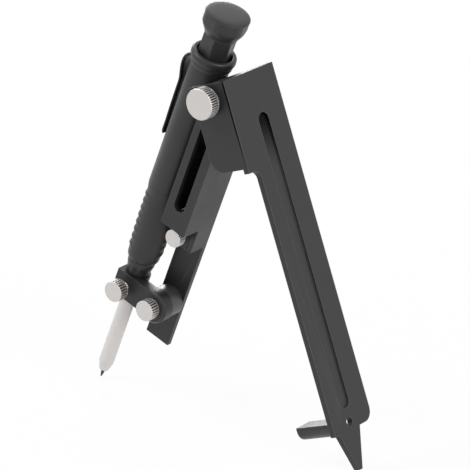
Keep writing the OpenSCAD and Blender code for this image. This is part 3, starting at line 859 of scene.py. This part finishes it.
grip_curve = [(row.x, row.y)
              for row in smooth_line([(*point, 0) for point in grip_line], 6)]
grip_rows = [(GRIP_BORE, GRIP_TOP), *fine_rows(grip_curve, GRIP_ROW_STEP),
             (GRIP_BORE, GRIP_END)]
print("grip rows:", len(grip_rows))

# %% [markdown]
# The grip's ridges
#
# Each pad lies on one side of the grip and fades out round it. A ridge rises slowly and
# drops quickly along the pencil, which is how a moulded grip keeps the fingers from
# sliding down, and the rows lean a little round the side.

# %% Ridges
RIDGE_TOP = 76
RIDGE_PITCH = 3.0
RIDGE_ROWS = 8
RIDGE_HEIGHT = 0.4
RIDGE_SPAN = 72
RIDGE_TURN = 28
RIDGE_LEAN = 1.2
RIDGE_CREST = 0.7
PAD_SINK = 0.1
PAD_START = 73.5
PAD_END = 101
PAD_FADE_IN = 2


def off_centre(angle):
    return (angle - radians(RIDGE_TURN) + pi / 2) % pi - pi / 2


def side_pad(angle):
    half = radians(RIDGE_SPAN / 2)
    return max(0.0, 1 - (off_centre(angle) / half) ** 2)


def ridge_wave(station, lean):
    along = (station - RIDGE_TOP + RIDGE_PITCH / 2 + lean) / RIDGE_PITCH
    if along < 0 or along > RIDGE_ROWS:
        return 0.0
    phase = along % 1.0
    rise = phase / RIDGE_CREST if phase < RIDGE_CREST else (1 - phase) / (1 - RIDGE_CREST)
    return rise * rise * (3 - 2 * rise)


def grip_shape(radius, station, angle):
    if radius < GRIP_BORE + 0.02:
        return radius
    pad = side_pad(angle)
    height = RIDGE_HEIGHT * sqrt(pad) * ridge_wave(station, off_centre(angle) * RIDGE_LEAN)
    fade = min(1.0, max(0.0, (station - PAD_START) / PAD_FADE_IN))
    fade *= min(1.0, max(0.0, PAD_END - station))
    return radius + (height - PAD_SINK * sqrt(pad)) * fade


grip_mesh = turned_mesh("grip_sleeve", grip_rows, steps=144, shape=grip_shape, closed=True)
place_piece("grip_sleeve", grip_mesh, pencil_axis, grip_rubber, "pencil",
            ["rubber_grip"], sharp=45)

# %% [markdown]
# The pocket clip
#
# The clip is a springy strip that leaves the collar, turns down with a round shoulder and
# comes back to the barrel at its tip. Its side view is a centre line with a thickness,
# and each cross-section is a shallow arch, so that it isn't a flat ribbon.

# %% Clip
CLIP_TURN = 180
CLIP_WIDTH = 5.2
CLIP_ARCH = 0.16
CLIP_CELLS = 10
EDGE_FROM = 0.86
EDGE_THINNING = 0.4
clip_line = [(6.6, 20.7, 1.1), (7.4, 20.75, 1.1), (8.2, 21.4, 1.1), (8.9, 22.6, 1.1),
             (9.2, 24.0, 1.1), (9.2, 25.7, 1.0), (8.72, 28.2, 0.95), (8.08, 31.1, 0.95),
             (8.0, 35.2, 0.95), (7.92, 41.3, 0.95), (7.75, 47.9, 0.95), (7.72, 51.2, 1.0),
             (7.6, 52.3, 1.0), (7.3, 53.1, 0.6)]


def clip_mesh():
    maker = bmesh.new()
    line = smooth_line(clip_line)
    last = len(line) - 1
    rows = []
    for index, point in enumerate(line):
        ahead = line[min(index + 1, last)] - line[max(index - 1, 0)]
        normal = Vector((ahead.y, -ahead.x)).normalized()
        half_t = point.z / 2
        ring = []
        for side in (1, -1):
            for cell in range(CLIP_CELLS + 1):
                across = (cell / CLIP_CELLS - 0.5) * side
                arch = CLIP_ARCH * (1 - (2 * across) ** 2)
                past_flat = max(0.0, abs(across) * 2 - EDGE_FROM) / (1 - EDGE_FROM)
                edge = 1 - EDGE_THINNING * past_flat
                out = side * half_t * edge + (arch if side > 0 else 0)
                ring.append(maker.verts.new((
                    (point.x + normal.x * out) * MM, across * CLIP_WIDTH * MM,
                    -(point.y + normal.y * out) * MM)))
        rows.append(ring)
    count = len(rows[0])
    for upper, lower in zip(rows, rows[1:]):
        for step in range(count):
            after = (step + 1) % count
            maker.faces.new((upper[step], upper[after], lower[after], lower[step]))
    maker.faces.new(rows[0])
    maker.faces.new(rows[-1])
    bmesh.ops.recalc_face_normals(maker, faces=maker.faces)
    mesh = bpy.data.meshes.new("clip_strip")
    maker.to_mesh(mesh)
    maker.free()
    return mesh


clip_place = pencil_axis @ Matrix.Rotation(radians(CLIP_TURN), 4, "Z")
place_piece("clip_strip", clip_mesh(), clip_place, painted_shade_clip, "pencil",
            ["pocket_clip"], sharp=50)

# %% [markdown]
# Floor and backdrop
#
# The object stands on a plain pale floor. The photograph's ground is pure white, so the
# floor shows white to the camera and keeps only a soft shadow: it mixes a plain diffuse
# surface with a white glow that only camera, glossy and transmission rays see.

# %% Floor
FLOOR_REACH = 4.0
FLOOR_DROP = 0.0002
FLOOR_GLOW = 0.93


def white_to_eye(tree):
    paths = add_node(tree, "ShaderNodeLightPath")
    seen = add_node(tree, "ShaderNodeMath", {0: paths.outputs["Is Camera Ray"],
                                             1: paths.outputs["Is Glossy Ray"]},
                    operation="ADD", use_clamp=True)
    through = add_node(tree, "ShaderNodeMath",
                       {0: seen.outputs["Value"],
                        1: paths.outputs["Is Transmission Ray"]},
                       operation="ADD", use_clamp=True)
    return through.outputs["Value"]


floor_material = bpy.data.materials.new("pale_floor")
floor_material.use_nodes = True
floor_tree = floor_material.node_tree
floor_tree.nodes.clear()
floor_plain = add_node(floor_tree, "ShaderNodeBsdfDiffuse", {"Color": (0.9, 0.9, 0.9, 1)})
floor_white = add_node(floor_tree, "ShaderNodeEmission", {"Strength": 1.0})
floor_share = add_node(floor_tree, "ShaderNodeMath",
                       {0: white_to_eye(floor_tree), 1: FLOOR_GLOW}, operation="MULTIPLY")
floor_mix = add_node(floor_tree, "ShaderNodeMixShader",
                     {0: floor_share.outputs["Value"], 1: floor_plain.outputs["BSDF"],
                      2: floor_white.outputs["Emission"]})
add_node(floor_tree, "ShaderNodeOutputMaterial",
         {"Surface": floor_mix.outputs["Shader"]})
bpy.ops.mesh.primitive_circle_add(vertices=96, radius=FLOOR_REACH, fill_type="NGON",
                                  location=(0, 0, -FLOOR_DROP))
floor = bpy.context.object
floor.name = "floor"
floor.data.materials.append(floor_material)
print("floor reaches", FLOOR_REACH, "m")

# %% [markdown]
# A white world
#
# The world gives an even light from all sides. It shows white to the camera and in
# reflections, and lights the object less, so that the black metal stays black.

# %% World
WORLD_LIGHT = 0.42
world = bpy.data.worlds.new("studio")
scene.world = world
world.use_nodes = True
world_tree = world.node_tree
world_tree.nodes.clear()
world_level = add_node(world_tree, "ShaderNodeMapRange",
                       {"Value": white_to_eye(world_tree), "To Min": WORLD_LIGHT,
                        "To Max": 1.0})
world_glow = add_node(world_tree, "ShaderNodeBackground",
                      {"Color": (1, 1, 1, 1), "Strength": world_level.outputs["Result"]})
add_node(world_tree, "ShaderNodeOutputWorld",
         {"Surface": world_glow.outputs["Background"]})
print("world lights at", WORLD_LIGHT)

# %% [markdown]
# Three lamps
#
# A large soft lamp at the upper left, a weaker one at the right and one at the left behind
# that draws the light edges give the plain light of a product table. A round area lamp
# gives a soft shadow, softer the larger it is. Each one is placed in metres and turned
# towards the middle of the object.


# %% Lamps
def soft_lamp(name, place, aim, size, power):
    data = bpy.data.lights.new(name, "AREA")
    data.shape = "DISK"
    data.size = size
    data.energy = power
    lamp = bpy.data.objects.new(name, data)
    scene.collection.objects.link(lamp)
    lamp.location = place
    lamp.rotation_euler = (Vector(aim) - Vector(place)).to_track_quat("-Z", "Y").to_euler()
    print(name, "gives", power, "W")


middle = (0, 0, 0.07)
soft_lamp("key_lamp", (-0.75, -0.55, 0.9), middle, 0.6, 7.0)
soft_lamp("side_lamp", (1.05, -0.15, 0.5), middle, 0.7, 6.0)
soft_lamp("back_lamp", (-0.9, 0.95, 0.5), middle, 0.7, 11.0)
